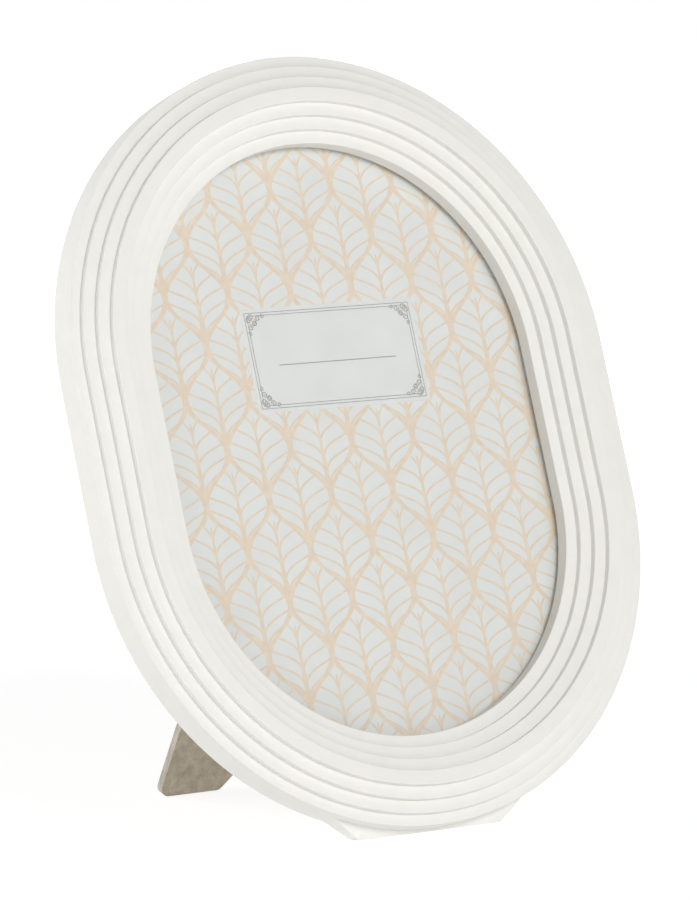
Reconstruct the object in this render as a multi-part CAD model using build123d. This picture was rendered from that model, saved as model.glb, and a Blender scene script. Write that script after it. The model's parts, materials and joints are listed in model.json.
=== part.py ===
from build123d import *
import math
import os

# Oval picture frame: a cast ring with a stepped front, a glazed print behind it,
# a panel held in by turn buttons, and a strut leg that folds on a riveted hinge.
# Everything is built in the frame's own plane and then leaned back onto the floor:
# u runs across, v up the frame, w out of its back plane towards the viewer.

# Stance
lean_angle = 20.7
leg_open_angle = 36.0

# Opening
sight_width = 140.0
side_straight = 50.4

# Section of the ring
wall_height = 9.9
outer_tread = 3.6
step_tread = 4.05
step_riser = 2.1
step_count = 3
crown_width = 4.6
inner_tread = 4.0
edge_round = 0.3
rabbet_lip = 5.0

# Wedge foot cast under the ring, its front plumb and its flanks sloping up into the wall
foot_width = 53.0
foot_depth = 3.0
foot_flank_angle = 39.0
foot_grind = 0.2
foot_sink = 0.3
foot_round = 1.5

# Glass, print and panel in the rabbet
glass_thickness = 2.0
print_thickness = 0.25
panel_thickness = 2.4
cover_thickness = 0.3
panel_recess = 0.1
panel_gap = 0.5

# Turn buttons and their screws, set round the ring by bearing
button_bearings = (0, 45, 135, 180, 225, 315)
button_width = 8.0
button_length = 21.0
button_thickness = 0.8
button_setback = 8.0
button_play = 0.1
screw_radius = 1.5
screw_length = 6.5
screw_head_radius = 3.1
screw_head_height = 1.5
screw_head_round = 0.7
cross_length = 3.6
cross_width = 0.8
cross_depth = 0.8
fit_gap = 0.05

# Hinge of sheet steel
hinge_rise = 25.0
hinge_width = 26.0
middle_knuckle = 10.0
knuckle_gap = 0.3
leaf_length = 20.0
leaf_thickness = 0.8
leaf_round = 3.0
pin_radius = 1.0
pin_overhang = 0.6
heel_length = 6.5
stop_gap = 0.1

# Rivets of both leaves
rivet_margin = 5.5
rivet_inset = 6.0
rivet_radius = 1.2
rivet_head_radius = 2.6
rivet_head_height = 1.0
rivet_head_round = 0.6
rivet_tail_radius = 2.1
rivet_tail_thickness = 0.4

# Strut leg
leg_width = 28.0
leg_kick = 26.0
leg_flat = 22.7
leg_cut_angle = 47.0
leg_board_thickness = 2.2
leg_round = 3.0
fold_gap = 0.35

# Every cut runs past its solid by this much
overrun = 1.0

# Sizes worked out from the driving ones
half_straight = side_straight / 2
sight_radius = sight_width / 2
moulding_width = outer_tread + 2 * (step_count - 1) * step_tread + crown_width + inner_tread
outer_radius = sight_radius + moulding_width
rabbet_radius = sight_radius + rabbet_lip
print_front = panel_recess + cover_thickness + panel_thickness + print_thickness
rabbet_depth = print_front + glass_thickness
panel_front = print_front - print_thickness
cover_front = panel_recess + cover_thickness
barrel_radius = pin_radius + fit_gap + leaf_thickness
rivet_spacing = hinge_width - 2 * rivet_margin
leg_thickness = leg_board_thickness + 2 * cover_thickness

# The floor in the frame's plane, ground a little into the ring's lowest edge, and the ring's centre above it
# in the standing pose. The middle of the foot's flat is the origin.
lean = math.radians(lean_angle)
floor_v = -(outer_radius + half_straight) + foot_grind / math.cos(lean)
centre_y = foot_depth / math.cos(lean) / 2 - floor_v * math.sin(lean)
centre_z = -floor_v * math.cos(lean)
standing = Plane(
    origin=(0, centre_y, centre_z),
    x_dir=(1, 0, 0),
    z_dir=(0, -math.cos(lean), math.sin(lean)),
)

# The hinge's axis lies so far behind the panel that the folded leg and the knuckles both clear it
leg_clearance = fold_gap + leg_thickness + leaf_thickness - barrel_radius
hinge_w = panel_recess - max(leg_clearance, fold_gap + barrel_radius)
hinge_axis = Axis((0, hinge_rise, hinge_w), (1, 0, 0))

# The leg's faces when folded, and its length from the hinge so that it reaches the floor when open
leg_back_w = hinge_w - barrel_radius + leaf_thickness
leg_front_w = leg_back_w + leg_thickness
hinge_height = centre_z + hinge_rise * math.cos(lean) + hinge_w * math.sin(lean)
leg_slope = math.radians(leg_open_angle - lean_angle)
leg_reach = (hinge_height - (leg_front_w - hinge_w) * math.sin(leg_slope)) / math.cos(leg_slope)


def box_between(low, high):
    """Box between two opposite corners."""
    size = [b - a for a, b in zip(low, high)]
    middle = [(a + b) / 2 for a, b in zip(low, high)]
    return Pos(*middle) * Box(*size)


def bar_across(radius, low_u, high_u):
    """Round bar on the hinge's axis between two places across the frame."""
    face = Plane(origin=(low_u, hinge_rise, hinge_w), z_dir=(1, 0, 0)) * Circle(radius)
    return extrude(face, amount=high_u - low_u, dir=(1, 0, 0))


def disc(u, v, radius, low_w, high_w):
    """Round disc or hole tool along w."""
    return extrude(Pos(u, v, low_w) * Circle(radius), amount=high_w - low_w, dir=(0, 0, 1))


def round_corners(sketch, corners, radius):
    """Rounds the corners of a flat outline that lie at the given places."""
    picked = [min(sketch.vertices(), key=lambda v: (v.center() - Vector(*c)).length) for c in corners]
    return fillet(picked, radius)


# Cast ring

def ring_section():
    """Section of the ring: s inwards from the outer wall, w forwards, with the step edges rounded."""
    rise = [(0, wall_height)]
    fall = [(moulding_width, wall_height)]
    for step in range(step_count):
        base = wall_height + step * step_riser
        rise_s = outer_tread + step * step_tread
        fall_s = moulding_width - inner_tread - step * step_tread
        rise += [(rise_s, base), (rise_s, base + step_riser)]
        fall += [(fall_s, base), (fall_s, base + step_riser)]
    lip = moulding_width - rabbet_lip
    rabbet = [(moulding_width, rabbet_depth), (lip, rabbet_depth), (lip, 0)]
    section = make_face(Polyline((0, 0), *rise, *reversed(fall), *rabbet, close=True))
    return round_corners(section, rise[0::2] + fall[0::2], edge_round)


def ring_path():
    """Outer contour of the ring: two straight sides and two half circles."""
    right = Line((outer_radius, -half_straight), (outer_radius, half_straight))
    top = CenterArc((0, half_straight), outer_radius, 0, 180)
    left = Line((-outer_radius, half_straight), (-outer_radius, -half_straight))
    bottom = CenterArc((0, -half_straight), outer_radius, 180, 180)
    return right + top + left + bottom


def foot_wedge():
    """Wedge in the standing pose. Its flanks slope up from the flat's corners until they meet the ring's wall:
    offset is how far the line of a flank passes the centre of the ring's lower arc."""
    corner_u = foot_width / 2
    corner_v = floor_v - foot_depth * math.tan(lean)
    slope = math.radians(foot_flank_angle)
    wall = outer_radius - foot_sink
    offset = corner_u * math.sin(slope) - (half_straight + corner_v) * math.cos(slope)
    turn = slope - math.acos(offset / wall)
    touch_u = wall * math.sin(turn)
    touch_v = -half_straight - wall * math.cos(turn)
    corners = [(corner_u, corner_v), (-corner_u, corner_v)]
    outline = make_face(Polyline(*corners, (-touch_u, touch_v), (touch_u, touch_v), close=True))
    outline = round_corners(outline, corners, foot_round)
    depth = foot_depth + (touch_v - corner_v) * math.tan(lean)
    wedge = standing * extrude(outline, amount=depth, dir=(0, 0, 1))
    front = -foot_depth / math.cos(lean) / 2
    return wedge - box_between((-foot_width, front - foot_width, -foot_width), (foot_width, front, foot_width))


def button_places():
    """Place of each turn button's screw and the way its tongue points, in degrees."""
    reach = rabbet_radius + button_setback
    places = []
    for bearing in button_bearings:
        across = math.cos(math.radians(bearing))
        along = math.sin(math.radians(bearing))
        end = 0 if bearing % 180 == 0 else math.copysign(half_straight, along)
        places.append((reach * across, reach * along + end, bearing + 180))
    return places


def frame_moulding():
    """Ring and foot in one casting, with the blind holes of the button screws."""
    start = Plane(origin=(outer_radius, -half_straight, 0), x_dir=(-1, 0, 0), z_dir=(0, 1, 0))
    ring = sweep(start * ring_section(), path=ring_path())
    for u, v, _ in button_places():
        ring -= disc(u, v, screw_radius + fit_gap, -overrun, screw_length + overrun)
    reach = outer_radius + half_straight
    under = box_between((-reach, -reach, -reach), (reach, reach, 0))
    return standing * ring + foot_wedge() - under


# Sheets in the rabbet

def oval_sheet(low_w, high_w):
    """Flat sheet that fills the rabbet less the gap round its edge."""
    radius = rabbet_radius - panel_gap
    outline = SlotOverall(2 * (radius + half_straight), 2 * radius, rotation=90)
    return extrude(Pos(0, 0, low_w) * outline, amount=high_w - low_w, dir=(0, 0, 1))


# Turn buttons

def turn_button(u, v, bearing):
    """Round-ended steel strip that swivels on its screw, its tongue over the panel."""
    span = button_length - button_width
    outline = Pos(span / 2, 0) * SlotCenterToCenter(span, button_width) - Circle(screw_radius + fit_gap)
    low_w = -button_play - button_thickness
    strip = extrude(Pos(0, 0, low_w) * outline, amount=button_thickness, dir=(0, 0, 1))
    return Pos(u, v) * Rot(0, 0, bearing) * strip


def button_screw(u, v, bearing):
    """Pan-head screw with a cross recess, driven into the ring's back."""
    seat = -button_thickness - 2 * button_play
    top = seat - screw_head_height
    head = disc(0, 0, screw_head_radius, top, seat)
    head = fillet(head.edges().sort_by(Axis.Z)[0], screw_head_round)
    for length, width in ((cross_length, cross_width), (cross_width, cross_length)):
        low = (-length / 2, -width / 2, top - overrun)
        head -= box_between(low, (length / 2, width / 2, top + cross_depth))
    screw = head + disc(0, 0, screw_radius, seat, screw_length)
    return Pos(u, v) * Rot(0, 0, bearing) * screw


# Rivets

def rivet_places(way):
    """Places of a leaf's rivets: way is 1 above the hinge's axis and -1 below it."""
    v = hinge_rise + way * (leaf_length - rivet_inset)
    return [(-rivet_spacing / 2, v), (rivet_spacing / 2, v)]


def rivet(u, v, back_w, front_w):
    """Rivet with a domed head behind the leaf and a tail set flush in front."""
    head = disc(u, v, rivet_head_radius, back_w - rivet_head_height, back_w)
    head = fillet(head.edges().sort_by(Axis.Z)[0], rivet_head_round)
    shank = disc(u, v, rivet_radius, back_w, front_w)
    return head + shank + disc(u, v, rivet_tail_radius, front_w - rivet_tail_thickness, front_w)


def rivet_holes(way, back_w, front_w):
    """Tools that cut the holes and the tail seats of a leaf's rivets."""
    tools = []
    for u, v in rivet_places(way):
        tools.append(disc(u, v, rivet_radius + fit_gap, back_w - overrun, front_w + overrun))
        seat = front_w - rivet_tail_thickness
        tools.append(disc(u, v, rivet_tail_radius + fit_gap, seat, front_w + overrun))
    return tools


def drilled(solid, tools):
    """Solid less each of the tools."""
    for tool in tools:
        solid -= tool
    return solid


# Hinge

def leaf_plate(way, low_w):
    """Flat of a leaf from the knuckles outwards, its far corners rounded."""
    near = hinge_rise + way * (barrel_radius + knuckle_gap)
    far = hinge_rise + way * leaf_length
    side = hinge_width / 2
    corners = [(side, far), (-side, far)]
    outline = make_face(Polyline((-side, near), (side, near), *corners, close=True))
    outline = round_corners(outline, corners, leaf_round)
    return extrude(Pos(0, 0, low_w) * outline, amount=leaf_thickness, dir=(0, 0, 1))


def hinge_panel_leaf():
    """Leaf on the panel, with a knuckle at each side of the middle one."""
    leaf = leaf_plate(1, panel_recess - leaf_thickness)
    inner = middle_knuckle / 2 + knuckle_gap
    outer = hinge_width / 2
    neck_v = hinge_rise + barrel_radius + 2 * knuckle_gap
    for low_u, high_u in ((-outer, -inner), (inner, outer)):
        leaf += bar_across(barrel_radius, low_u, high_u)
        leaf += box_between((low_u, hinge_rise, hinge_w), (high_u, neck_v, panel_recess))
    leaf -= bar_across(pin_radius + fit_gap, -hinge_width, hinge_width)
    return drilled(leaf, rivet_holes(1, panel_recess - leaf_thickness, panel_front))


def hinge_leg_leaf():
    """Leaf on the back of the leg, with the middle knuckle and the heel that meets the panel's leaf."""
    low_w = hinge_w - barrel_radius
    half = middle_knuckle / 2
    neck_v = hinge_rise - barrel_radius - 2 * knuckle_gap
    leaf = leaf_plate(-1, low_w)
    leaf += box_between((-half, neck_v, low_w), (half, hinge_rise, low_w + leaf_thickness))
    leaf = drilled(leaf, rivet_holes(-1, low_w, leg_front_w))
    leaf = opened(leaf) + bar_across(barrel_radius, -half, half)
    heel_front = panel_recess - leaf_thickness - stop_gap
    heel_low = (-half, hinge_rise, heel_front - leaf_thickness)
    leaf += box_between(heel_low, (half, hinge_rise + heel_length, heel_front))
    return leaf - bar_across(pin_radius + fit_gap, -hinge_width, hinge_width)


def hinge_pin():
    """Straight pin through all the knuckles."""
    end = hinge_width / 2 + pin_overhang
    return bar_across(pin_radius, -end, end)


# Strut leg, drawn folded against the panel and then opened about the hinge

def opened(solid):
    """Turns a piece of the folded leg to its standing place."""
    return solid.rotate(hinge_axis, leg_open_angle)


def leg_sheet(low_w, high_w):
    """Sheet of the leg's outline: one side slants out, the other corner is cut off."""
    top = hinge_rise - barrel_radius - knuckle_gap
    bottom = hinge_rise - leg_reach
    side = leg_width / 2
    toe = -side - leg_kick
    cut_rise = (side - toe - leg_flat) * math.tan(math.radians(leg_cut_angle))
    foot = [(toe, bottom), (toe + leg_flat, bottom)]
    outline = make_face(Polyline((-side, top), *foot, (side, bottom + cut_rise), (side, top), close=True))
    outline = round_corners(outline, foot, leg_round)
    sheet = extrude(Pos(0, 0, low_w) * outline, amount=high_w - low_w, dir=(0, 0, 1))
    return opened(drilled(sheet, rivet_holes(-1, hinge_w - barrel_radius, leg_front_w)))


# Pieces in the order they are put together
panel_holes = rivet_holes(1, panel_recess - leaf_thickness, panel_front)
pieces = {
    "glass_pane": oval_sheet(print_front, rabbet_depth),
    "photo_insert": oval_sheet(panel_front, print_front),
    "backing_board": drilled(oval_sheet(cover_front, panel_front), panel_holes),
    "backing_cover": drilled(oval_sheet(panel_recess, cover_front), panel_holes),
    "hinge_panel_leaf": hinge_panel_leaf(),
    "hinge_pin": hinge_pin(),
    "hinge_leg_leaf": hinge_leg_leaf(),
    "leg_cover_back": leg_sheet(leg_back_w, leg_back_w + cover_thickness),
    "leg_board": leg_sheet(leg_back_w + cover_thickness, leg_front_w - cover_thickness),
    "leg_cover_front": leg_sheet(leg_front_w - cover_thickness, leg_front_w),
}
for number, place in enumerate(button_places(), 1):
    pieces[f"turn_button_{number}"] = turn_button(*place)
    pieces[f"button_screw_{number}"] = button_screw(*place)
for number, place in enumerate(rivet_places(1), 1):
    pieces[f"panel_rivet_{number}"] = rivet(*place, panel_recess - leaf_thickness, panel_front)
for number, place in enumerate(rivet_places(-1), 1):
    pieces[f"leg_rivet_{number}"] = opened(rivet(*place, hinge_w - barrel_radius, leg_front_w))

os.makedirs("parts", exist_ok=True)
export_step(frame_moulding(), "parts/frame_moulding.step")
for name, piece in pieces.items():
    export_step(standing * piece, f"parts/{name}.step")

# Places of the joints in the standing pose
print("leg_fold", *standing.from_local_coords(hinge_axis.position))
for number, (u, v, _) in enumerate(button_places(), 1):
    print(f"button_{number}_turn", *standing.from_local_coords(Vector(u, v, 0)))
print("button_axis", *standing.z_dir)
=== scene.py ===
import json
import math

import bmesh
import bpy
import numpy as np
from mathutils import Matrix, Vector


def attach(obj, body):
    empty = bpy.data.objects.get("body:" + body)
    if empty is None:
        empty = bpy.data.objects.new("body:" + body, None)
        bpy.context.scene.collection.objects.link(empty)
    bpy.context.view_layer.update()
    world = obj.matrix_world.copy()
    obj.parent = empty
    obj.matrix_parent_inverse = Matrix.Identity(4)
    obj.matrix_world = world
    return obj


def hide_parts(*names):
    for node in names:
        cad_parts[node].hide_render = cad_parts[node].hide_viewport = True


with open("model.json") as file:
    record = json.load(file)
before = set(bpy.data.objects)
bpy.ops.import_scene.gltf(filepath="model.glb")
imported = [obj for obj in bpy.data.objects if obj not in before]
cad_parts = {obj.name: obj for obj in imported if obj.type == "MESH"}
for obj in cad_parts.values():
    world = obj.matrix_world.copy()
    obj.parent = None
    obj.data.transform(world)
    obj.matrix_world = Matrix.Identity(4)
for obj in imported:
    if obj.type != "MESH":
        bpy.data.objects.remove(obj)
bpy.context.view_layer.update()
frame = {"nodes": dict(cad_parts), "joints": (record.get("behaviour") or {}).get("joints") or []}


# Cast ring with its foot. The real one is a single casting of resin: three steps up to a narrow crown and
# three down to the opening, with a small wedge foot under it, sprayed all over in a satin off-white.
# The turn buttons give its plane: their screws stand square on its back, two of them level with its middle.

joints = {joint["name"]: joint for joint in frame["joints"]}
right_screw, left_screw = (np.array(joints[name]["pos_m"]) for name in ("button_1_turn", "button_4_turn"))
ring_middle = (right_screw + left_screw) / 2
across = np.array([1.0, 0.0, 0.0])
forward = np.array(joints["button_1_turn"]["axis"])
upward = np.cross(forward, across)
lean = math.asin(forward[2])

wall_height = 0.0099
outer_tread = 0.0036
step_tread = 0.00405
step_riser = 0.0021
step_count = 3
crown_width = 0.0046
inner_tread = 0.004
rabbet_lip = 0.005
rabbet_depth = 0.00505
edge_round = 0.0003
hollow_round = 0.00012
sight_radius = 0.07
half_straight = 0.0252
ring_width = outer_tread + 2 * (step_count - 1) * step_tread + crown_width + inner_tread
outer_radius = sight_radius + ring_width

foot_width = 0.053
foot_depth = 0.003
foot_flank = math.radians(39.0)
foot_bevel = 0.0002
foot_blend = 0.0002
floor_drop = float(ring_middle[2]) / math.cos(lean) - half_straight
foot_drop = floor_drop + foot_depth * math.tan(lean)

arc_points = 5
corner_points = arc_points + 2
flat_share = 0.3
fine_degrees = np.linspace(-45, 45, 181)
coarse_degrees = np.linspace(46, 90, 23)
top_degrees = np.linspace(0, 180, 121)
side_stations = 6
least_cosine = 0.1


def on_ring(u, v, w):
    """Points in the room from u across the ring, v up it and w forward of its back, as an array of rows."""
    u, v, w = np.broadcast_arrays(u, v, w)
    return ring_middle + u[..., None] * across + v[..., None] * upward + w[..., None] * forward


def rounded_loop(corners, rounds):
    """Closed outline with an arc at each corner: the arc's centre lies one radius inside both sides, and
    its points turn about it from the first side to the second. A point more on each side holds the flats
    flat."""
    into = corners - np.roll(corners, 1, axis=0)
    into /= np.linalg.norm(into, axis=1)[:, None]
    out = np.roll(into, -1, axis=0)
    bend = np.arctan2(into[:, 0] * out[:, 1] - into[:, 1] * out[:, 0], (into * out).sum(1))
    cut = rounds * np.tan(np.abs(bend) / 2)
    start = corners - into * cut[:, None]
    left = np.stack([-into[:, 1], into[:, 0]], 1) * np.sign(bend)[:, None]
    centre = start + left * rounds[:, None]
    turned = bend[:, None] * np.linspace(0, 1, arc_points)
    arm = start - centre
    arc_s = centre[:, :1] + arm[:, :1] * np.cos(turned) - arm[:, 1:] * np.sin(turned)
    arc_w = centre[:, 1:] + arm[:, :1] * np.sin(turned) + arm[:, 1:] * np.cos(turned)
    arcs = np.stack([arc_s, arc_w], 2)
    beyond = flat_share * rounds[:, None, None]
    first = arcs[:, :1] - beyond * into[:, None]
    last = arcs[:, -1:] + beyond * out[:, None]
    return np.concatenate([first, arcs, last], 1).reshape(-1, 2)


def ring_outline():
    """Section of the ring as (inward, forward) points: over the steps, down into the rabbet and back along
    the rear."""
    levels = wall_height + step_riser * np.arange(step_count + 1)
    edges = np.repeat(levels, 2)[1:-1]
    rise = outer_tread + step_tread * np.arange(step_count)
    fall = ring_width - inner_tread - step_tread * np.arange(step_count)
    up = np.stack([np.repeat(rise, 2), edges], 1)
    down = np.stack([np.repeat(fall, 2), edges], 1)[::-1]
    lip = ring_width - rabbet_lip
    rear = [(ring_width, wall_height), (ring_width, rabbet_depth), (lip, rabbet_depth), (lip, 0), (0, 0)]
    corners = np.concatenate([[(0, wall_height)], up, down, rear])
    sharp = np.array([1] + [0, 1] * step_count + [1, 0] * step_count + [1, 1, 0, 1, 1])
    return rounded_loop(corners, np.where(sharp, edge_round, hollow_round))


def oval_columns():
    """Stations round the oval, as (way across, way up, height of the arc's centre, bearing from straight
    down). A point at a radius from the centre line is radius times the way, raised by that height. The
    foot's two corners have stations of their own."""
    corner = math.degrees(math.atan2(foot_width / 2, foot_drop))
    fine = np.sort(np.concatenate([fine_degrees, [-corner, corner]]))
    bearing = np.radians(np.concatenate([-coarse_degrees[::-1], fine, coarse_degrees]))
    over = np.radians(top_degrees)
    side = np.linspace(-half_straight, half_straight, side_stations + 2)[1:-1]
    way_u = np.concatenate([np.sin(bearing), 0 * side + 1, np.cos(over), 0 * side - 1])
    way_v = np.concatenate([-np.cos(bearing), 0 * side, np.sin(over), 0 * side])
    height = np.concatenate([0 * bearing - half_straight, side, 0 * over + half_straight, -side])
    low = np.concatenate([bearing, np.full(len(way_u) - len(bearing), np.pi / 2)])
    return way_u, way_v, height, low


def foot_reach(bearing, drop):
    """Radius of the outer wall at a bearing from straight down, where the foot stands out of it. The flank
    and the floor are straight lines, each its distance from the arc's centre over the cosine of the angle
    from its normal; the lesser counts, eased at the corner, and the round wall where it lies outside
    both."""
    offset = foot_width / 2 * math.sin(foot_flank) + foot_drop * math.cos(foot_flank)
    flank = offset / np.cos(np.abs(bearing) - foot_flank)
    floor = drop / np.maximum(np.cos(bearing), least_cosine)
    share = np.clip(0.5 + 0.5 * (flank - floor) / foot_blend, 0, 1)
    eased = flank + (floor - flank) * share - foot_blend * share * (1 - share)
    reach = np.minimum(np.maximum(eased, outer_radius), floor)
    touch = foot_flank - math.acos(offset / outer_radius)
    return np.where(np.abs(bearing) < touch, reach, outer_radius)


def grid_faces(rows, columns, wrap_rows=False, wrap_columns=False):
    """Four-cornered faces between neighbouring rows and columns of a grid of points, closed round where
    asked."""
    row = np.arange(rows if wrap_rows else rows - 1)[:, None]
    column = np.arange(columns if wrap_columns else columns - 1)[None, :]
    next_row = (row + 1) % rows * columns
    next_column = (column + 1) % columns
    row = row * columns
    corners = [row + column, row + next_column, next_row + next_column, next_row + column]
    return np.stack(corners, -1).reshape(-1, 4)


def new_piece(name, points, *faces, merge=2e-7, crease=35):
    """Mesh object of these points and groups of faces, riding on the frame: points closer than merge are
    made one, faces point outwards, and edges up to the crease angle are smooth."""
    mesh = bpy.data.meshes.new(name)
    mesh.from_pydata(points.reshape(-1, 3).tolist(), [], sum((group.tolist() for group in faces), []))
    work = bmesh.new()
    work.from_mesh(mesh)
    if merge:
        bmesh.ops.remove_doubles(work, verts=work.verts, dist=merge)
        bmesh.ops.dissolve_degenerate(work, edges=work.edges, dist=merge / 2)
    bmesh.ops.recalc_face_normals(work, faces=work.faces)
    work.to_mesh(mesh)
    work.free()
    mesh.shade_smooth()
    mesh.set_sharp_from_angle(angle=math.radians(crease))
    piece = bpy.data.objects.new(name, mesh)
    bpy.context.scene.collection.objects.link(piece)
    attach(piece, "frame")
    return piece


def ring_mesh():
    """The section carried round the oval. The foot stands out of its last rows by the foot's reach, and
    three rows more are the foot's front: it is plumb, so it comes forward by the tangent of the lean as it
    rises."""
    way_u, way_v, height, low = oval_columns()
    section = ring_outline()
    radius = outer_radius - section[:, :1] + 0 * low
    depth = section[:, 1:] + 0 * low
    heel = depth[-corner_points:]
    radius[-corner_points:] += foot_reach(low, floor_drop + heel * math.tan(lean)) - outer_radius
    reach = foot_reach(low, foot_drop - foot_bevel * math.tan(lean))
    bevelled = np.maximum(reach - foot_bevel, outer_radius)
    front_radius = np.stack([reach, bevelled, outer_radius + 0 * reach])
    foot_turn = np.minimum(np.abs(low), low[reach > outer_radius].max())
    front = foot_depth + (foot_drop - front_radius * np.cos(foot_turn)) * math.tan(lean)
    front[0] -= foot_bevel
    radius = np.concatenate([radius, front_radius])
    points = on_ring(radius * way_u, height + radius * way_v, np.concatenate([depth, front]))
    return points, grid_faces(*radius.shape, wrap_rows=True, wrap_columns=True)


ring = new_piece("ring", *ring_mesh())
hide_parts("frame_moulding")


def new_finish(name, colour, roughness, metallic=0.0, **more):
    """Material with one shader at these plain values; gives the material, its node tree and the shader."""
    material = bpy.data.materials.new(name)
    material.use_nodes = True
    tree = material.node_tree
    shader = tree.nodes["Principled BSDF"]
    shader.inputs["Base Color"].default_value = (*colour, 1)
    shader.inputs["Roughness"].default_value = roughness
    shader.inputs["Metallic"].default_value = metallic
    for socket, value in more.items():
        shader.inputs[socket.replace("_", " ")].default_value = value
    return material, tree, shader


def grain(tree, lumps, detail=3.0, stretch=(1, 1, 1), turn=0.0):
    """Noise with so many lumps to the metre on Object coordinates, turned about X and stretched; gives its
    height."""
    place = tree.nodes.new("ShaderNodeTexCoord")
    mapping = tree.nodes.new("ShaderNodeMapping")
    mapping.inputs["Rotation"].default_value[0] = turn
    mapping.inputs["Scale"].default_value = stretch
    noise = tree.nodes.new("ShaderNodeTexNoise")
    noise.inputs["Scale"].default_value = lumps
    noise.inputs["Detail"].default_value = detail
    tree.links.new(place.outputs["Object"], mapping.inputs["Vector"])
    tree.links.new(mapping.outputs["Vector"], noise.inputs["Vector"])
    return noise.outputs["Fac"]


def spread(tree, height, low, high, start=0.35, end=0.65):
    """Value from low to high as a height goes from start to end."""
    ramp = tree.nodes.new("ShaderNodeMapRange")
    for socket, value in zip(("From Min", "From Max", "To Min", "To Max"), (start, end, low, high)):
        ramp.inputs[socket].default_value = value
    tree.links.new(height, ramp.inputs["Value"])
    return ramp.outputs["Result"]


def tinted(tree, height, low, high, start=0.35, end=0.65):
    """Colour from low to high as a height goes from start to end."""
    ramp = tree.nodes.new("ShaderNodeValToRGB")
    for stop, place, colour in zip(ramp.color_ramp.elements, (start, end), (low, high)):
        stop.position = place
        stop.color = (*colour, 1)
    tree.links.new(height, ramp.inputs["Fac"])
    return ramp.outputs["Color"]


def embossed(tree, shader, height, depth, strength):
    """Relief of the shader from a height, that many metres deep."""
    bump = tree.nodes.new("ShaderNodeBump")
    bump.inputs["Distance"].default_value = depth
    bump.inputs["Strength"].default_value = strength
    tree.links.new(height, bump.inputs["Height"])
    tree.links.new(bump.outputs["Normal"], shader.inputs["Normal"])


def screen(red, green, blue):
    """Linear colour of a colour given in display values from 0 to 255."""
    value = np.array([red, green, blue]) / 255
    return tuple(np.where(value <= 0.04045, value / 12.92, ((value + 0.055) / 1.055) ** 2.4).tolist())


def sprayed_paint():
    """Satin off-white: faint cloudy variation of the coat, and the fine pebble that a spray gun leaves."""
    material, tree, shader = new_finish("sprayed_paint", screen(237, 236, 231), roughness=0.45)
    coat = tinted(tree, grain(tree, lumps=160), screen(236, 235, 230), screen(238, 237, 232))
    tree.links.new(coat, shader.inputs["Base Color"])
    tree.links.new(spread(tree, grain(tree, lumps=240), 0.4, 0.52), shader.inputs["Roughness"])
    embossed(tree, shader, grain(tree, lumps=1400, detail=2.0), depth=0.00003, strength=0.5)
    return material


ring.data.materials.append(sprayed_paint())


# Glass in front of the insert: a 2 mm float pane with ground edges, laid into the rabbet from behind.
# Its edge is under the ring's lip, so only its two clear faces show.


def float_glass():
    """Clear glass that lets lamps and scattered light through unbent, so that what lies behind it is lit as
    in the open."""
    material, tree, shader = new_finish(
        "float_glass", (0.985, 0.995, 0.99), roughness=0.0, Transmission_Weight=1.0, IOR=1.5,
    )
    path = tree.nodes.new("ShaderNodeLightPath")
    either = tree.nodes.new("ShaderNodeMath")
    either.operation = "MAXIMUM"
    clear = tree.nodes.new("ShaderNodeBsdfTransparent")
    mix = tree.nodes.new("ShaderNodeMixShader")
    tree.links.new(path.outputs["Is Shadow Ray"], either.inputs[0])
    tree.links.new(path.outputs["Is Diffuse Ray"], either.inputs[1])
    tree.links.new(either.outputs["Value"], mix.inputs[0])
    tree.links.new(shader.outputs["BSDF"], mix.inputs[1])
    tree.links.new(clear.outputs["BSDF"], mix.inputs[2])
    tree.links.new(mix.outputs["Shader"], tree.nodes["Material Output"].inputs["Surface"])
    return material


def dress(material, *names):
    """Gives CAD nodes that keep their own shape this material in place of their plain one."""
    for name in names:
        slots = frame["nodes"][name].data.materials
        slots.clear()
        slots.append(material)


dress(float_glass(), "glass_pane")


# Insert behind the glass: a sheet of stout paper, cut to the oval and printed in two pale inks.
# A lattice of leaves covers it, and a plain framed panel lies over the lattice above the middle.

glass_back = 0.00305
paper_back = 0.0028
paper_gap = 0.00015
paper_front = glass_back - paper_gap
sheet_radius = 0.0745
sheet_rings = 6
ink_height = 0.00003


def oval_sheet(radius, low_w, high_w):
    """Flat oval slab: rings of one outline shrunk towards the middle line, on both faces, closed at the
    edge."""
    way_u, way_v, height, _ = oval_columns()
    shrink = np.linspace(0, 1, sheet_rings)[:, None]
    reach = radius * np.concatenate([shrink, shrink[::-1]])
    w = np.repeat([high_w, low_w], sheet_rings)[:, None]
    points = on_ring(reach * way_u, height + reach * way_v, w)
    return points, grid_faces(2 * sheet_rings, len(way_u), wrap_columns=True)


def ink_strips(u, v, half_width, base_w):
    """Ink lines: each row of u and v is one line. A flat three-sided strip follows it, its two edges half
    the width to each side of the line's tangent on the paper and its crown the ink's height above, closed
    at both ends."""
    tangent = np.gradient(u, axis=1), np.gradient(v, axis=1)
    length = np.hypot(*tangent)
    side_u, side_v = -tangent[1] / length * half_width, tangent[0] / length * half_width
    edge_u = np.stack([u + side_u, u, u - side_u], 1)
    edge_v = np.stack([v + side_v, v, v - side_v], 1)
    edge_w = base_w + ink_height * np.array([0, 1, 0])[None, :, None]
    lines, _, stations = edge_u.shape
    strip = grid_faces(3, stations, wrap_rows=True)
    first = np.arange(lines)[:, None, None] * 3 * stations
    ends = np.array([[0, stations, 2 * stations], [3 * stations - 1, 2 * stations - 1, stations - 1]])
    return on_ring(edge_u, edge_v, edge_w), (strip + first).reshape(-1, 4), (ends + first).reshape(-1, 3)


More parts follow.
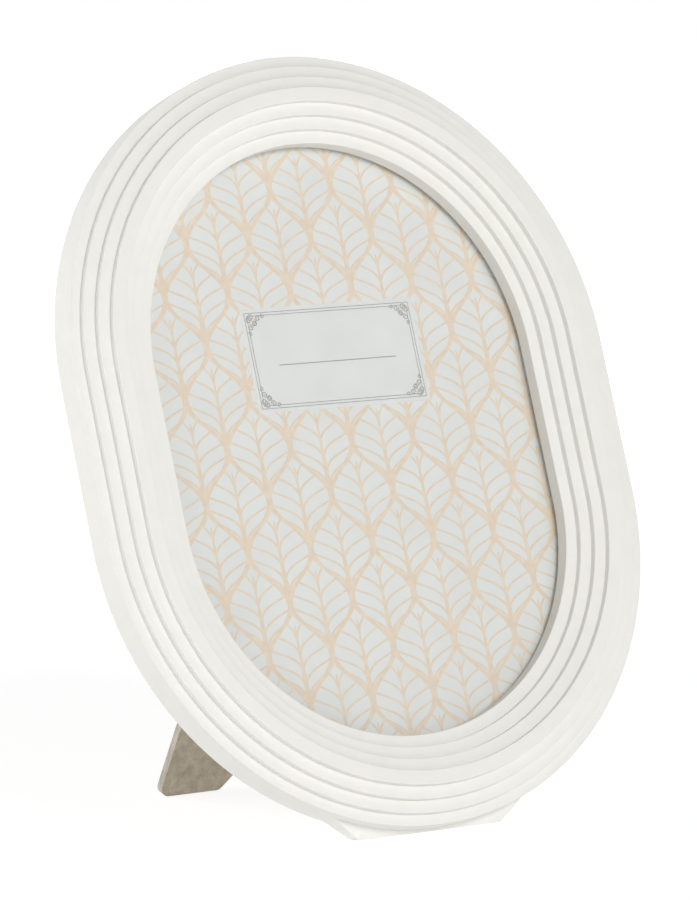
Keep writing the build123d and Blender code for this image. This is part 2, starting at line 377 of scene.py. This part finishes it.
def printed(name, colour, swing, lumps, **more):
    """Matt paper or ink: a colour in display values, which soft clouds swing so far to each side."""
    material, tree, shader = new_finish(name, screen(*colour), roughness=0.6, **more)
    low, high = screen(*np.subtract(colour, swing)), screen(*np.add(colour, swing))
    tree.links.new(tinted(tree, grain(tree, lumps), low, high), shader.inputs["Base Color"])
    return material


paper = new_piece("insert_paper", *oval_sheet(sheet_radius, paper_back, paper_front))
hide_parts("photo_insert")
paper.data.materials.append(printed("insert_paper", (221, 223, 220), swing=2, lumps=60))

leaf_pitch = 0.023
leaf_rise = 0.0165
leaf_rows = np.arange(-8, 7)
leaf_columns = np.arange(-4, 5)
leaf_side_half, leaf_side_swell = 0.00078, 0.0002
rib_rises = 1.6
rib_tip_half, rib_swell, rib_taper = 0.0003, 0.0009, 1.5
vein_starts = np.array([0.16, 0.46, 0.76, 1.05, 1.32])
vein_ends = np.array([0.66, 0.93, 1.18, 1.42, 1.66])
vein_half, vein_thinning = 0.00042, 0.00012
vein_reach_share = 0.97
vein_out_shares = (0.16, 0.62)
vein_up_shares = (0.62, 0.70)
leaf_line_points = 11
ink_margin = 0.0735


def leaf_places():
    """Feet of the leaves: a brick lattice, every other row moved half a pitch, as far as the sheet
    reaches."""
    row, column = np.meshgrid(leaf_rows, leaf_columns, indexing="ij")
    return (column + row % 2 / 2).ravel() * leaf_pitch, row.ravel() * leaf_rise


def ogee_side(t):
    """Half width of a leaf at t rises above its foot: a cosine wave, nil at the foot and at the tip two
    rises up."""
    return leaf_pitch / 4 * (1 - np.cos(np.pi * t))


def swung(start, end, t):
    """Veins from the rib to the leaf's side: cubic curves whose two handles are shares of the way out and
    of the way up, so that each leaves along the rib, swings out and lifts at its end."""
    first, second, last = 3 * t * (1 - t) ** 2, 3 * t * t * (1 - t), t ** 3
    out = vein_out_shares[0] * first + vein_out_shares[1] * second + last
    up = vein_up_shares[0] * first + vein_up_shares[1] * second + last
    end_u = vein_reach_share * ogee_side(end)
    return end_u[:, None] * out, leaf_rise * (start[:, None] + (end - start)[:, None] * up)


def leaf_lines():
    """Lines of all the leaves: two lower sides, which are the upper sides of their neighbours, one tapering
    rib and the veins of both halves. Lines wholly off the sheet are dropped, and the rest stop at the ink's
    margin."""
    foot_u, foot_v = leaf_places()
    t = np.linspace(0, 1, leaf_line_points)
    side_u, side_v = ogee_side(t)[None], (t * leaf_rise)[None]
    rib_u, rib_v = 0 * t[None], (rib_rises * t * leaf_rise)[None]
    vein_u, vein_v = swung(vein_starts, vein_ends, t)
    one_u = np.concatenate([side_u, -side_u, rib_u, vein_u, -vein_u])
    one_v = np.concatenate([side_v, side_v, rib_v, vein_v, vein_v])
    side_half = leaf_side_half + leaf_side_swell * np.cos(2 * np.pi * t)
    rib_half = rib_tip_half + rib_swell * (1 - t) ** rib_taper
    veins_half = [vein_half - vein_thinning * t] * (2 * len(vein_starts))
    one_half = np.stack([side_half, side_half, rib_half] + veins_half)
    u = (one_u[None] + foot_u[:, None, None]).reshape(-1, len(t))
    v = (one_v[None] + foot_v[:, None, None]).reshape(-1, len(t))
    half = np.tile(one_half, (len(foot_u), 1))
    beyond = v - np.clip(v, -half_straight, half_straight)
    reach = np.hypot(u, beyond)
    kept = (reach < ink_margin).sum(1) > 1
    pull = np.minimum(1, ink_margin / np.maximum(reach, 1e-6))
    return u[kept] * pull[kept], (v - beyond + beyond * pull)[kept], half[kept]


lattice = new_piece("insert_lattice", *ink_strips(*leaf_lines(), paper_front), merge=None)
lattice.data.materials.append(printed("peach_ink", (224, 207, 185), swing=4, lumps=500))

panel_low = np.array([-0.0303, 0.0125])
panel_high = np.array([0.0313, 0.0432])
panel_margin = 0.0014
panel_lift = 0.00006
panel_thickness = 0.00001
panel_front = paper_front + panel_lift


def plain_slab(low_u, high_u, low_v, high_v, low_w, high_w):
    """Flat slab between two corners, as a closed grid of four loops, the first and last shrunk to the
    middle of a face."""
    middle_u, middle_v = (low_u + high_u) / 2, (low_v + high_v) / 2
    edge_u, edge_v = [low_u, high_u, high_u, low_u], [low_v, low_v, high_v, high_v]
    u = np.array([[middle_u] * 4, edge_u, edge_u, [middle_u] * 4])
    v = np.array([[middle_v] * 4, edge_v, edge_v, [middle_v] * 4])
    w = np.array([[high_w], [high_w], [low_w], [low_w]])
    return on_ring(u, v, w), grid_faces(4, 4, wrap_columns=True)


panel = new_piece("insert_panel", *plain_slab(
    panel_low[0] - panel_margin, panel_high[0] + panel_margin,
    panel_low[1] - panel_margin, panel_high[1] + panel_margin,
    panel_front - panel_thickness, panel_front,
))
panel.data.materials.append(printed("pale_panel", (221, 223, 221), swing=2, lumps=80, Alpha=0.84))
panel.visible_shadow = False
panel.visible_diffuse = False

border_gap = 0.0009
border_half = 0.00011
scroll_half = 0.00015
scroll_shrink = 0.75
rule_half = 0.00015
rule_half_length = 0.022
rule_across, rule_up = 0.0005, -0.0018
panel_line_points = 25

# Scrolls of a corner: middle along and aside from it, radius, and first bearing and turn in half turns
corner_scrolls = (
    (0.0023, 0.0013, 0.0012, 0.5, 2.6),
    (0.0046, 0.0016, 0.0010, 1.0, -2.6),
    (0.0064, 0.0010, 0.0007, 0.0, 2.2),
    (0.0034, 0.0034, 0.0009, 1.25, 2.2),
)


def panel_lines():
    """Lines of the panel: two plain rectangles one inside the other, scrolls at each corner, and one level
    rule. A scroll is a spiral whose radius shrinks as it turns; each is drawn twice, mirrored across the
    corner."""
    t = np.linspace(0, 1, panel_line_points)
    middle = (panel_low + panel_high) / 2
    half = (panel_high - panel_low) / 2
    lines = []
    for inset in (0.0, border_gap):
        edge = half - inset
        for sign in (-1, 1):
            lines.append((edge[0] * (2 * t - 1), sign * edge[1] + 0 * t, border_half))
            lines.append((sign * edge[0] + 0 * t, edge[1] * (2 * t - 1), border_half))
    for along, aside, size, first, turns in corner_scrolls:
        turn = np.pi * (first + turns * t)
        reach = size * (1 - scroll_shrink * t)
        scroll_u = along + reach * np.cos(turn)
        scroll_v = aside + reach * np.sin(turn)
        for sign_u in (-1, 1):
            for sign_v in (-1, 1):
                lines.append((sign_u * (half[0] - scroll_u), sign_v * (half[1] - scroll_v), scroll_half))
                lines.append((sign_u * (half[0] - scroll_v), sign_v * (half[1] - scroll_u), scroll_half))
    lines.append((rule_across + rule_half_length * (2 * t - 1), rule_up + 0 * t, rule_half))
    u, v, width = zip(*lines)
    return np.array(u) + middle[0], np.array(v) + middle[1], np.array(width)[:, None] + 0 * t


border = new_piece("insert_panel_lines", *ink_strips(*panel_lines(), panel_front), merge=None)
border.data.materials.append(printed("grey_ink", (148, 140, 134), swing=8, lumps=700))


# Panel behind the insert: a sheet of brown hardboard, faced at the back with flocked paper.
# The flock is a short dense nap of grey-taupe fibres, brushed by handling into lighter and darker patches.


def taupe_flock(turn):
    """Flocked paper: cloudy patches where the nap lies over, fine fibre speckle, a soft sheen and a velvety
    relief."""
    material, tree, shader = new_finish(
        "taupe_flock", screen(194, 184, 166), roughness=0.9,
        Sheen_Weight=0.25, Sheen_Roughness=0.45, Sheen_Tint=(*screen(226, 218, 204), 1),
    )
    nap = grain(tree, lumps=300, detail=4.0, turn=turn)
    patches = tinted(tree, nap, screen(178, 167, 148), screen(210, 200, 182), 0.3, 0.7)
    fibres = spread(tree, grain(tree, lumps=3200, detail=2.0), 0.86, 1.1)
    speckled = tree.nodes.new("ShaderNodeVectorMath")
    speckled.operation = "SCALE"
    tree.links.new(patches, speckled.inputs[0])
    tree.links.new(fibres, speckled.inputs["Scale"])
    tree.links.new(speckled.outputs["Vector"], shader.inputs["Base Color"])
    embossed(tree, shader, grain(tree, lumps=2600), depth=0.00025, strength=0.8)
    return material


def brown_hardboard():
    """Hardboard: pressed brown fibre with dark flecks."""
    material, tree, shader = new_finish("brown_hardboard", screen(140, 104, 72), roughness=0.8)
    flecks = tinted(tree, grain(tree, lumps=900, detail=5.0), screen(104, 74, 48), screen(158, 120, 86))
    tree.links.new(flecks, shader.inputs["Base Color"])
    embossed(tree, shader, grain(tree, lumps=1500, detail=4.0), depth=0.0001, strength=0.6)
    return material


dress(brown_hardboard(), "backing_board")
dress(taupe_flock(-lean), "backing_cover")


# Turn buttons and their screws: six round-ended strips blanked from zinc-plated steel, each swivelling on a
# pan-head screw in the ring's back, with its tongue over the panel.


def plated_steel(name, colour, streaks, roughness):
    """Plated steel: fine rolling streaks, drawn out where the stretch is small, and cloudy dull patches of
    the plating."""
    material, tree, shader = new_finish(name, colour, roughness, metallic=1.0)
    dull, bright = (tuple(level * np.array(colour)) for level in (0.86, 1.06))
    patches = tinted(tree, grain(tree, lumps=260, detail=4.0), dull, bright)
    tree.links.new(patches, shader.inputs["Base Color"])
    rolled = grain(tree, lumps=900, stretch=streaks, turn=-lean)
    tree.links.new(spread(tree, rolled, roughness - 0.07, roughness + 0.09), shader.inputs["Roughness"])
    embossed(tree, shader, rolled, depth=0.00002, strength=0.5)
    return material


button_names = [f"turn_button_{number}" for number in range(1, 7)]
dress(plated_steel("button_zinc", (0.70, 0.69, 0.66), (0.1, 1, 1), roughness=0.34), *button_names)
screw_names = [f"button_screw_{number}" for number in range(1, 7)]
dress(plated_steel("screw_nickel", (0.66, 0.64, 0.60), (1, 1, 1), roughness=0.26), *screw_names)


# Hinge of the leg: two leaves of zinc-plated sheet with rolled knuckles on a steel pin, each held by two
# nickel-plated rivets with domed heads at the back.

hinge_zinc = plated_steel("hinge_zinc", (0.64, 0.63, 0.61), (1, 0.12, 0.12), roughness=0.38)
dress(hinge_zinc, "hinge_panel_leaf", "hinge_leg_leaf")
dress(plated_steel("pin_steel", (0.58, 0.57, 0.55), (0.1, 1, 1), roughness=0.3), "hinge_pin")
rivet_names = [f"{leaf}_rivet_{number}" for leaf in ("panel", "leg") for number in (1, 2)]
dress(plated_steel("rivet_nickel", (0.72, 0.69, 0.63), (1, 1, 1), roughness=0.24), *rivet_names)


# Strut leg: a kicked strip of grey board between two faces of the same flocked paper, which leave its cut
# edge bare.

leg_turn = math.radians(joints["leg_fold"]["range_deg"][1])


def grey_board():
    """Cut edge of grey board: pressed pulp in fine layers. Its pale tone is partly the board's own colour
    and partly a painted highlight where light catches the edge.
    """
    material, tree, shader = new_finish("grey_board", screen(190, 184, 174), roughness=0.85)
    layers = grain(tree, lumps=700, detail=4.0, stretch=(0.2, 1, 0.2), turn=leg_turn - lean)
    pulp = tinted(tree, layers, screen(176, 169, 158), screen(206, 200, 190))
    tree.links.new(pulp, shader.inputs["Base Color"])
    embossed(tree, shader, layers, depth=0.0001, strength=0.5)
    return material


dress(grey_board(), "leg_board")
dress(taupe_flock(leg_turn - lean), "leg_cover_front", "leg_cover_back")


# Floor, light and camera. The photograph is a cut-out on white under even studio light.

floor_half = 3.0
floor_glow = 1.28
lit_share = 0.3
near_share, far_share = 0.64, 1.0
near_floor, far_floor = 0.3, 1.0

floor_mesh = bpy.data.meshes.new("studio_floor")
floor_corners = floor_half * np.array([[-1, -1, 0], [1, -1, 0], [1, 1, 0], [-1, 1, 0]])
floor_mesh.from_pydata(floor_corners.tolist(), [], [[0, 1, 2, 3]])
floor = bpy.data.objects.new("studio_floor", floor_mesh)
bpy.context.scene.collection.objects.link(floor)


def white_floor():
    """White floor, lit from below as a light table is: a share of it is its own white. Where it is seen
    directly the share grows from the object, whose shadow stays faint, to the far floor, which is all
    white."""
    material, tree, shader = new_finish("white_floor", (0.9, 0.9, 0.9), roughness=0.9)
    place = tree.nodes.new("ShaderNodeTexCoord")
    distance = tree.nodes.new("ShaderNodeVectorMath")
    distance.operation = "LENGTH"
    tree.links.new(place.outputs["Object"], distance.inputs[0])
    seen = spread(tree, distance.outputs["Value"], near_share, far_share, near_floor, far_floor)
    path = tree.nodes.new("ShaderNodeLightPath")
    share = tree.nodes.new("ShaderNodeMapRange")
    share.inputs["To Min"].default_value = lit_share
    tree.links.new(seen, share.inputs["To Max"])
    tree.links.new(path.outputs["Is Camera Ray"], share.inputs["Value"])
    white = tree.nodes.new("ShaderNodeEmission")
    white.inputs["Strength"].default_value = floor_glow
    mix = tree.nodes.new("ShaderNodeMixShader")
    tree.links.new(share.outputs["Result"], mix.inputs[0])
    tree.links.new(shader.outputs["BSDF"], mix.inputs[1])
    tree.links.new(white.outputs["Emission"], mix.inputs[2])
    tree.links.new(mix.outputs["Shader"], tree.nodes["Material Output"].inputs["Surface"])
    return material


floor_mesh.materials.append(white_floor())


def studio_world(level):
    """White room: rays that see it directly, in a reflection or through glass find white, and other light
    is softer."""
    world = bpy.data.worlds.new("studio")
    bpy.context.scene.world = world
    world.use_nodes = True
    tree = world.node_tree
    soft = tree.nodes["Background"]
    soft.inputs["Strength"].default_value = level
    soft.inputs["Color"].default_value = (1, 1, 1, 1)
    white = tree.nodes.new("ShaderNodeBackground")
    white.inputs["Color"].default_value = (1, 1, 1, 1)
    path = tree.nodes.new("ShaderNodeLightPath")
    direct = tree.nodes.new("ShaderNodeMath")
    direct.operation = "MAXIMUM"
    shown = tree.nodes.new("ShaderNodeMath")
    shown.operation = "MAXIMUM"
    mix = tree.nodes.new("ShaderNodeMixShader")
    tree.links.new(path.outputs["Is Camera Ray"], direct.inputs[0])
    tree.links.new(path.outputs["Is Glossy Ray"], direct.inputs[1])
    tree.links.new(direct.outputs["Value"], shown.inputs[0])
    tree.links.new(path.outputs["Is Transmission Ray"], shown.inputs[1])
    tree.links.new(shown.outputs["Value"], mix.inputs[0])
    tree.links.new(soft.outputs["Background"], mix.inputs[1])
    tree.links.new(white.outputs["Background"], mix.inputs[2])
    tree.links.new(mix.outputs["Shader"], tree.nodes["World Output"].inputs["Surface"])


studio_world(level=0.23)


def softbox(name, place, size, power):
    """Large square lamp at a place, facing the ring's middle, that no reflection shows."""
    lamp = bpy.data.lights.new(name, "AREA")
    lamp.size = size
    lamp.energy = power
    holder = bpy.data.objects.new(name, lamp)
    holder.location = place
    aim = Vector(ring_middle.tolist()) - holder.location
    holder.rotation_euler = aim.to_track_quat("-Z", "Y").to_euler()
    holder.visible_glossy = False
    holder.visible_transmission = False
    bpy.context.scene.collection.objects.link(holder)


softbox("front_softbox", place=(0.1, -1.9, 1.0), size=0.7, power=25)
softbox("left_card", place=(-0.45, -0.2, 0.1), size=0.3, power=0.24)
softbox("side_softbox", place=(-1.5, 0.5, 0.5), size=0.8, power=7)
softbox("rear_softbox", place=(-0.9, 1.4, 0.8), size=1.2, power=10)

image_width, image_height = 697, 900
focal_pixels = 5975.0
axis_column, axis_row = 345.087, 443.687
camera_azimuth, camera_elevation = math.radians(33.849), math.radians(7.516)
camera_distance = 1.8673
sensor = 36.0

camera_data = bpy.data.cameras.new("camera")
camera_data.sensor_width = sensor
camera_data.lens = focal_pixels * sensor / image_height
camera_data.shift_x = ((image_width - 1) / 2 - axis_column) / image_height
camera_data.shift_y = (axis_row - (image_height - 1) / 2) / image_height
camera = bpy.data.objects.new("camera", camera_data)
bpy.context.scene.collection.objects.link(camera)
level = math.cos(camera_elevation)
back = Vector((
    -math.sin(camera_azimuth) * level,
    -math.cos(camera_azimuth) * level,
    math.sin(camera_elevation),
))
camera.location = Vector(ring_middle.tolist()) + back * camera_distance
camera.rotation_euler = (-back).to_track_quat("-Z", "Y").to_euler()
bpy.context.scene.camera = camera
bpy.context.scene.view_settings.view_transform = "Standard"
